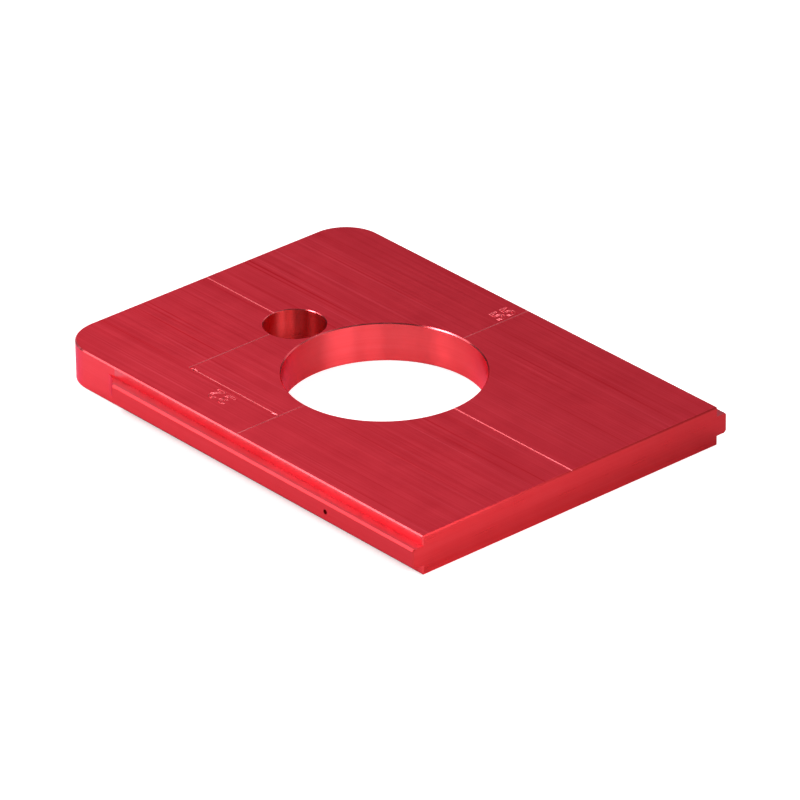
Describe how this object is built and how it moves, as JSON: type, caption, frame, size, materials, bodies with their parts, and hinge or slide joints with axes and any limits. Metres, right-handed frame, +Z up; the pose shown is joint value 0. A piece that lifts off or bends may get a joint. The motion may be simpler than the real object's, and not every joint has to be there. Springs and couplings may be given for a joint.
{
  "type": "drilling jig",
  "caption": "Flat red anodised drilling guide plate with a large guide bore, a small pilot bore, side tongues and engraved setting-out lines.",
  "frame": {"origin": "on the axis of the large guide bore, at the underside of the plate", "axes": "+Z up, out of the engraved top face along the bore axis; +X along the plate towards the front end, where the tongues run out of the end face; +Y across the plate"},
  "size_m": [0.129, 0.0958, 0.01],
  "materials": {
    "anodised_plate": "bright red anodised over a fine brushed and milled surface"
  },
  "bodies": {
    "root": {"jig_plate": "anodised_plate"}
  },
  "joints": []
}
